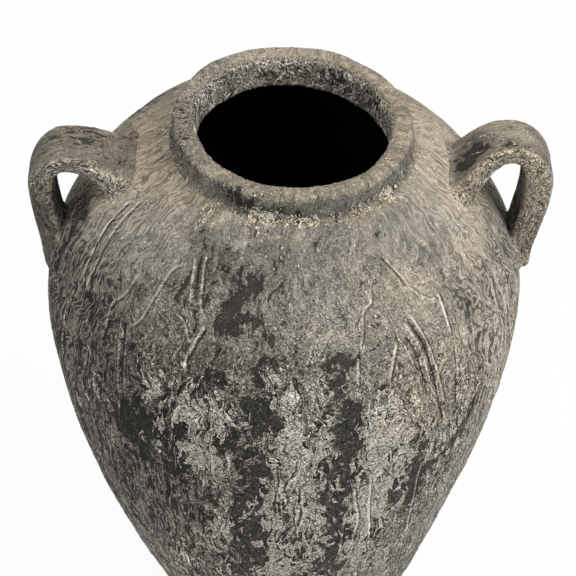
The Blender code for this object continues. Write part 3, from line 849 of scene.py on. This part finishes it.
def strap(places, tail_depth, half_widths, half_thicknesses):
    """Middle line, outward directions and section sizes down a strap, in the plane of the handles."""
    knots = np.array([*places, (outer_radius(TAIL_HEIGHT) - tail_depth, TAIL_HEIGHT)])
    ways = np.array([
        (math.cos(ROOT_LIFT), math.sin(ROOT_LIFT)),
        (1.0, 0.0),
        (0.0, -1.0),
        (-math.sin(TAIL_LEAN), -math.cos(TAIL_LEAN)),
    ])
    bends = len(knots) - 1
    travel = np.concatenate([
        np.linspace(STRAP_START, TAIL_START, STRAP_ROWS, endpoint=False),
        TAIL_START + (bends - TAIL_START) * np.sin(np.linspace(0.0, math.pi / 2.0, TAIL_ROWS)),
    ])
    bend = np.minimum(travel.astype(int), bends - 1)
    share = (travel - bend)[:, None]
    rest = 1.0 - share
    start, end = knots[bend], knots[bend + 1]
    pull = STRAP_BEND * np.hypot(*(end - start).T)[:, None]
    first, second = start + ways[bend] * pull, end - ways[bend + 1] * pull
    line = rest ** 3 * start + 3 * rest ** 2 * share * first
    line += 3 * rest * share ** 2 * second + share ** 3 * end
    way = rest ** 2 * (first - start) + 2 * rest * share * (second - first) + share ** 2 * (end - second)
    outward = np.stack([-way[:, 1], way[:, 0]], axis=1) / np.hypot(*way.T)[:, None]
    ease = smooth(0.0, 1.0, share[:, 0])
    sizes = [np.array(values)[bend] * (1.0 - ease) + np.array(values)[bend + 1] * ease
             for values in (half_widths, half_thicknesses, ROOT_SMEARS)]
    length = travelled(line)
    tucked = np.clip(TAIL_ROUND - length[-1] + length, 0.0, TAIL_ROUND)
    sizes[:2] = [size - TAIL_ROUND + np.sqrt(TAIL_ROUND ** 2 - tucked ** 2) for size in sizes[:2]]
    return line, outward, sizes


def handle(name, side, shape, relief, coat):
    """Pulled strap handle with its roots smeared out onto the shoulder. side is +1 right or -1 left."""
    line, outward, (half_width, half_thick, smear) = strap(*shape)
    rows = len(line)
    turn = np.linspace(0.0, 2.0 * math.pi, STRAP_COLUMNS, endpoint=False)
    power = 2.0 / STRAP_SQUARENESS
    across = half_width[:, None] * np.sign(np.cos(turn)) * np.abs(np.cos(turn)) ** power
    out = half_thick[:, None] * np.sign(np.sin(turn)) * np.abs(np.sin(turn)) ** power
    reach_out = line[:, None, 0] + outward[:, None, 0] * out
    height = line[:, None, 1] + outward[:, None, 1] * out
    points = np.stack([side * reach_out, side * across, height], axis=-1).reshape(-1, 3)
    faces = ring_faces(rows, STRAP_COLUMNS, False)
    last = (rows - 1) * STRAP_COLUMNS
    faces += [list(range(STRAP_COLUMNS))[::-1], list(range(last, last + STRAP_COLUMNS))]

    # The smeared root follows a round that meets the wall flush
    spread = np.repeat(smear, STRAP_COLUMNS)
    clear, away = off_wall(points)
    clear = np.clip(clear, 0.0, spread)
    push = spread - np.sqrt(spread ** 2 - (spread - clear) ** 2)
    along = skin_normals(points, faces)
    along -= np.sum(along * away, axis=1)[:, None] * away
    along /= np.maximum(np.linalg.norm(along, axis=1), 0.3)[:, None]
    points = settled(points + along * push[:, None])
    length = np.repeat(travelled(line), STRAP_COLUMNS)
    run = np.stack([across.ravel(), out.ravel() + STRAP_PATTERN_SHIFT * side, length], axis=1)
    outward = skin_normals(points, faces)

    # Wash is left along the strap's edges, less on the leg of the left one, and the inner face toward the jar
    # is darker, a painted shade
    edge = smooth(0.75, 0.95, np.abs(across / half_width[:, None]).ravel())
    through = (out / half_thick[:, None]).ravel()
    # The inner face, toward the jar, gets a darker film as painted shade
    inner = smooth(-0.5, -0.9, through) * (1.0 - edge)
    if side < 0:
        edge *= 1.0 - smooth(0.45, 0.60, length / length[-1]) * smooth(-0.5, 0.1, through)
    film = 0.24 + (0.20 + 0.06 * side) * edge - 0.14 * inner + spread_in(points, HANDLE_BLOTS)
    crust = -0.30 + 0.14 * edge
    dust = 0.5 * smooth(0.3, 0.9, outward[:, 2]) + (0.4 + 0.2 * side) * edge
    crisp = 0.25 + 0.50 * edge
    wrinkled = 0.1 + 0.3 * edge
    no_runs = np.zeros((2, len(points)))
    fields = coat_fields(points, run, outward, film, crust, dust, crisp, wrinkled, *no_runs)
    places, _ = weathered(points, faces, fields, relief)
    del fields["outward"]
    mesh = skin_mesh(name, places, faces, fields)
    hand = "right" if side > 0 else "left"
    nodes = [hand + piece for piece in ("_handle", "_upper_lute", "_lower_lute")]
    finished(name, mesh, (coat,), "coated_handle", *nodes)


def emptied(owner):
    """Node tree of a new material or world, with nothing in it yet."""
    owner.use_nodes = True
    owner.node_tree.nodes.clear()
    return owner.node_tree


def brushed_grain(tree, place, drift):
    """The wash close up: sand, specks and grit, brush squiggles and pits, and hairlines with grooves."""
    # Sand in the wash, each grain of its own tone, drawn 1 mm across so that it shows
    sand = add(tree, "ShaderNodeTexVoronoi", {"Vector": place, "Scale": 1 / 1.0})
    sand = add(tree, "ShaderNodeSeparateColor", {"Color": sand.node.outputs["Color"]})
    speck = add(tree, RANGE, {"Value": sand.node.outputs["Green"], "From Min": 0.97, "From Max": 0.99})
    grit = add(tree, NOISE, {"Vector": place, "Scale": 1 / 2.4, "Detail": 2.0, "Roughness": 0.6})

    # Squiggles: fine pale lines about 1.5 mm apart that swirl with the drift, and pits between them
    curl_at = add(tree, VECTOR, {0: drift, 1: (1 / 1.5, 1 / 1.5, 1 / 2.9)}, operation="MULTIPLY")
    curl = add(tree, NOISE, {"Vector": curl_at, "Scale": 1.0, "Detail": 1.0, "Roughness": 0.5})
    squiggle = thread(tree, curl, 0.5, 0.09)
    pit = add(tree, RANGE, {"Value": curl, "From Min": 0.40, "From Max": 0.28})

    # Hairlines: pale ridges about 4 mm apart with a dark groove along one side
    hair_at = {0: drift, 1: (1 / 4, 1 / 4, 1 / 12), 2: (4.4, 6.8, 2.9)}
    hair_at = add(tree, VECTOR, hair_at, operation="MULTIPLY_ADD")
    hair = add(tree, NOISE, {"Vector": hair_at, "Scale": 1.0, "Detail": 2.0, "Roughness": 0.5})
    ridge = thread(tree, hair, 0.5, 0.04)
    groove = thread(tree, hair, 0.56, 0.04)
    return sand, speck, grit, squiggle, pit, ridge, groove


def flank_wrinkles(tree, drift, wrinkled):
    """Wrinkles of the skin on the wash, about 2 mm apart, where its field says that it is wrinkled."""
    wrinkle_at = add(tree, VECTOR, {0: drift, 1: (1 / 8, 1 / 8, 1 / 130)}, operation="MULTIPLY")
    wrinkle = add(tree, NOISE, {"Vector": wrinkle_at, "Scale": 1.0, "Detail": 2.0})
    wrinkle = add(tree, MATH, {0: wrinkle, 1: 44.0}, operation="MULTIPLY")
    wrinkle = add(tree, MATH, {0: wrinkle}, operation="SINE")
    wrinkle = add(tree, RANGE, {
        "Value": wrinkle, "From Min": -1.0, "From Max": 0.2, "To Min": -1.0, "To Max": 0.5,
    }, **SOFT)
    return add(tree, MATH, {0: wrinkle, 1: wrinkled}, operation="MULTIPLY")


def lime_washed_clay(name, soiled):
    """Smoke-fired earthenware under a brushed lime wash: charcoal clay where the wash is gone, a
    greige gritty film over most of it, and pale plates of crust where it lay thick. It is dry and
    porous, so it hardly shines. soiled is the tone that hands have taken from it."""
    material = bpy.data.materials.new(name)
    tree = emptied(material)
    run, place = [
        add(tree, "ShaderNodeAttribute", attribute_name=field).node.outputs["Vector"]
        for field in ("run", "place")
    ]
    film_cover, crust_cover, dust, crisp, wrinkled, bead, stand = [
        add(tree, "ShaderNodeAttribute", attribute_name=field).node.outputs["Fac"]
        for field in ("film", "crust", "dust", "crisp", "wrinkled", "bead", "stand")
    ]
    drift, film, crust, fold = weathering(tree, run, place, film_cover, crust_cover)
    sand, speck, grit, squiggle, pit, ridge, groove = brushed_grain(tree, place, drift)
    wrinkle = flank_wrinkles(tree, drift, wrinkled)

    # Streaks about 4 mm wide where the wash was wiped down
    streak_at = add(tree, VECTOR, {0: drift, 1: (1 / 4, 1 / 4, 1 / 45)}, operation="MULTIPLY")
    streak = add(tree, NOISE, {"Vector": streak_at, "Scale": 1.0, "Detail": 3.0})

    # Edges of film and crust break up on the grit
    ragged = {"Value": grit, "From Min": 0.2, "From Max": 0.8, "To Min": -0.10, "To Max": 0.10}
    ragged = add(tree, RANGE, ragged)
    film = layered(tree, film, (ragged, 0.6))
    crust = layered(tree, crust, (ragged, 0.4))

    # The film has a dark crease of dirt and painted shade and a pale hem of lime and painted highlight along
    # its edge, and the crust has painted shade round it and a painted highlight on its rim
    film_on = add(tree, RANGE, {"Value": film, "From Min": 0.71, "From Max": 0.83}, **SOFT)
    thick = add(tree, RANGE, {"Value": film, "From Min": 0.77, "From Max": 1.2})
    # A dark crease of dirt and painted shade, and a pale hem of lime and painted highlight, along the film's
    # edge
    crease_dirt_and_shade = thread(tree, film, 0.72, 0.03)
    lime_hem_and_highlight = thread(tree, film, 0.83, 0.04)
    crust_on = add(tree, RANGE, {"Value": crust, "From Min": 0.865, "From Max": 0.90}, **SOFT)
    heavy = add(tree, RANGE, {"Value": crust, "From Min": 0.885, "From Max": 1.175})
    # Painted shade round the crust, and a painted highlight on its rim
    crust_edge_shade = add(tree, RANGE, {"Value": crust, "From Min": 0.80, "From Max": 0.85}, **SOFT)
    crust_rim_highlight = add(tree, RANGE, {"Value": crust, "From Min": 0.95, "From Max": 0.905}, **SOFT)
    # Cracks along the folds are dark, with a painted highlight on a lip beside them
    crack = thread(tree, fold, 0.5, 0.012)
    crack_lip_highlight = thread(tree, fold, 0.520, 0.012)

    # Runs stand up pale with a painted shadow along their left, and cracks are dark with a painted highlight
    # on a lip there
    middle = thread(tree, bead, 0.0, 1.15)
    beside = thread(tree, bead, 1.7, 0.8)
    raised = add(tree, MATH, {0: middle, 1: stand}, operation="MULTIPLY")
    run_shadow_crack_highlight = add(tree, MATH, {0: beside, 1: stand}, operation="MULTIPLY")

    # Tone, from 0 for soot black to 1 for clean lime
    fineness = add(tree, RANGE, {"Value": film_on, "To Min": 0.5, "To Max": 1.0})
    fineness = add(tree, MATH, {0: fineness, 1: crisp}, operation="MULTIPLY")
    grain = layered(tree, -0.25, (squiggle, 0.15), (pit, -0.14), (sand, 0.44), (ridge, 0.12), (groove, -0.12))
    film_tone = layered(
        tree, 0.075 - soiled, (film_on, 0.15), (thick, 0.20), (streak, 0.16), (dust, 0.12), (crease_dirt_and_shade, -0.06),
        (lime_hem_and_highlight, 0.06), (grain, fineness), (crust_edge_shade, -0.28), (speck, 0.25),
    )
    crust_tone = layered(
        tree, 0.17, (sand, 0.66), (heavy, 0.16), (pit, -0.30), (crust_rim_highlight, 0.26), (ridge, 0.06), (groove, -0.10)
    )
    tone = add(tree, MIX, {0: crust_on, 2: film_tone, 3: crust_tone}, data_type="FLOAT")
    split = layered(tree, 0.0, (crack_lip_highlight, 0.14), (crack, -0.2))
    tone = layered(tree, tone, (split, fineness), (wrinkle, 0.27), (raised, 0.34), (run_shadow_crack_highlight, -0.28))
    colour = add(tree, "ShaderNodeValToRGB", {"Fac": tone})
    ramp = colour.node.color_ramp
    ramp.elements[0].color = linear(WASH_TONES[0])
    for step, wash in enumerate(WASH_TONES[1:-1], 1):
        ramp.elements.new(step / (len(WASH_TONES) - 1)).color = linear(wash)
    ramp.elements[-1].color = linear(WASH_TONES[-1])
    dusted = {0: dust, 6: colour, 7: linear(DUST_TINT)}
    colour = add(tree, MIX, dusted, data_type="RGBA", blend_type="MULTIPLY")

    # Height in mm of what is too fine for the mesh
    lift = layered(
        tree, 0.0, (film_on, 0.2), (crust_on, 0.5), (grit, 0.5), (crack, -0.5), (wrinkle, 0.35), (raised, 0.8)
    )
    normal = add(tree, "ShaderNodeBump", {"Height": lift, "Strength": 0.8, "Distance": 1.0 / MM})
    surface = add(tree, "ShaderNodeBsdfPrincipled", {
        "Base Color": colour, "Roughness": 0.92, "IOR": 1.45, "Specular IOR Level": 0.3, "Normal": normal,
    })
    add(tree, "ShaderNodeOutputMaterial", {"Surface": surface})
    return material


def shade_black_interior():
    """Near-black inside of the jar, painted shade where little light reaches: dull and patchy every 30 mm or
    so.
    """
    material = bpy.data.materials.new("black interior, painted shade")
    tree = emptied(material)
    place = add(tree, "ShaderNodeTexCoord").node.outputs["Object"]
    patch = add(tree, NOISE, {"Vector": place, "Scale": MM / 30, "Detail": 4.0})
    tone = add(tree, MIX, {0: patch, 6: linear("#0b0a08"), 7: linear("#16130f")}, data_type="RGBA")
    surface = add(tree, "ShaderNodeBsdfPrincipled", {
        "Base Color": tone, "Roughness": 0.9, "IOR": 1.5, "Specular IOR Level": 0.2,
    })
    add(tree, "ShaderNodeOutputMaterial", {"Surface": surface})
    return material


def background_rays(tree):
    """1 for the rays that show the background: from the camera, off gloss and through glass."""
    path = add(tree, "ShaderNodeLightPath").node
    seen = path.outputs["Is Camera Ray"]
    for rays in ("Is Glossy Ray", "Is Transmission Ray"):
        seen = add(tree, MATH, {0: seen, 1: path.outputs[rays]}, operation="MAXIMUM")
    return seen


def white_paper():
    """Matt white background paper: it takes the jar's shadow, and shows as white elsewhere."""
    material = bpy.data.materials.new("white paper floor")
    tree = emptied(material)
    lit = add(tree, "ShaderNodeBsdfDiffuse", {"Color": linear("#f6f6f4")})
    white = add(tree, "ShaderNodeEmission", {"Color": linear("#ffffff"), "Strength": 1.0})
    seen = add(tree, MATH, {0: background_rays(tree), 1: PAPER_WHITE}, operation="MULTIPLY")
    surface = add(tree, "ShaderNodeMixShader", {0: seen, 1: lit, 2: white})
    add(tree, "ShaderNodeOutputMaterial", {"Surface": surface})
    return material


def studio():
    """Paper floor, soft light from the upper right, pale air, and the photograph's camera."""
    scene = bpy.context.scene
    scene.view_settings.view_transform = "Standard"
    camera = bpy.data.objects.new("camera", bpy.data.cameras.new("camera"))
    camera.data.sensor_width = SENSOR_MM
    camera.data.lens = LENS_MM
    camera.location = CAMERA_PLACE
    camera.rotation_euler = (CAMERA_TILT, 0.0, 0.0)
    scene.collection.objects.link(camera)
    scene.camera = camera

    for name, (place, size, power) in LAMPS.items():
        lamp = bpy.data.objects.new(name, bpy.data.lights.new(name, "AREA"))
        lamp.data.size = size
        lamp.data.energy = power
        lamp.location = place
        aim = np.array(LAMP_AIM) - np.array(place)
        level = math.hypot(aim[0], aim[1])
        lamp.rotation_euler = (math.atan2(level, -aim[2]), 0.0, math.atan2(-aim[0], aim[1]))
        scene.collection.objects.link(lamp)

    world = bpy.data.worlds.new("studio air")
    tree = emptied(world)
    strength = add(tree, RANGE, {"Value": background_rays(tree), "To Min": AIR_LIGHT, "To Max": 1.0})
    air = add(tree, "ShaderNodeBackground", {"Color": linear("#ffffff"), "Strength": strength})
    add(tree, "ShaderNodeOutputWorld", {"Surface": air})
    scene.world = world

    mesh = bpy.data.meshes.new("floor")
    corners = np.array([(-1, -1, 0), (1, -1, 0), (1, 1, 0), (-1, 1, 0)]) * PAPER_HALF_SIDE
    mesh.from_pydata(corners.tolist(), [], [(0, 1, 2, 3)])
    mesh.materials.append(white_paper())
    floor = bpy.data.objects.new("floor", mesh)
    scene.collection.objects.link(floor)


relief = coat_relief()
wall_coat = lime_washed_clay("lime washed clay", 0.0)
handled_coat = lime_washed_clay("lime washed clay, darkened by hands", 0.06)
# The jar's inside is near-black, a painted shade
interior_shade = shade_black_interior()
neck_travel = body(relief, wall_coat, interior_shade)
collar(relief, handled_coat, neck_travel)
handle("left_strap", -1, LEFT_STRAP, relief, handled_coat)
handle("right_strap", 1, RIGHT_STRAP, relief, handled_coat)
# The hidden coils take the same near-black painted shade
for coil in ("base_corner_coil", "lower_seam_coil", "upper_seam_coil"):
    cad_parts[coil].data.materials.clear()
    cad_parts[coil].data.materials.append(interior_shade)
studio()
